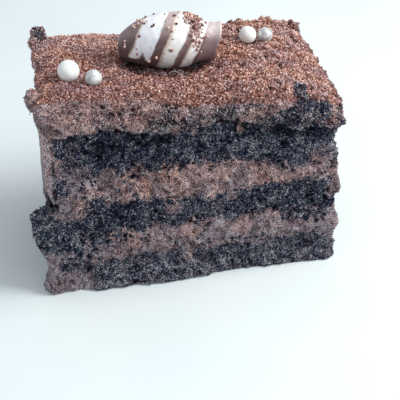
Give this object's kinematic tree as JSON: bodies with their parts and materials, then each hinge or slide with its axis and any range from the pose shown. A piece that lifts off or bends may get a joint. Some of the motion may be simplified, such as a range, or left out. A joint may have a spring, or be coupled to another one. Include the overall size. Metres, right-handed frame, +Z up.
{
  "type": "slice of chocolate cake",
  "caption": "Cut block of dark chocolate layer cake with mousse fillings, a frosted top, a marbled chocolate shell and sugar pearls.",
  "frame": {"origin": "middle of the base, on the surface that the slice stands on", "axes": "+X along the cut front face from its left end to its right end, +Y from the cut front face to the back, +Z up"},
  "size_m": [0.1078, 0.067, 0.0865],
  "materials": {
    "chocolate_sponge": "open, dry crumb torn by the knife",
    "chocolate_mousse": "aerated mousse dragged by the knife",
    "chocolate_frosting": "mousse dusted with cocoa crumb",
    "marbled_chocolate": "moulded chocolate, satin, brown and white stripes",
    "white_sugar_pearl": "panned sugar with a pearl lustre",
    "silver_sugar_pearl": "panned sugar with a dull silver lustre"
  },
  "bodies": {
    "root": {"sponge_bottom": "chocolate_sponge", "filling_lower": "chocolate_mousse", "sponge_middle": "chocolate_sponge", "filling_upper": "chocolate_mousse", "sponge_top": "chocolate_sponge", "frosting": "chocolate_frosting", "chocolate_shell": "marbled_chocolate", "pearl_white_left": "white_sugar_pearl", "pearl_silver_left": "silver_sugar_pearl", "pearl_white_right": "white_sugar_pearl", "pearl_silver_right": "silver_sugar_pearl"}
  },
  "joints": []
}
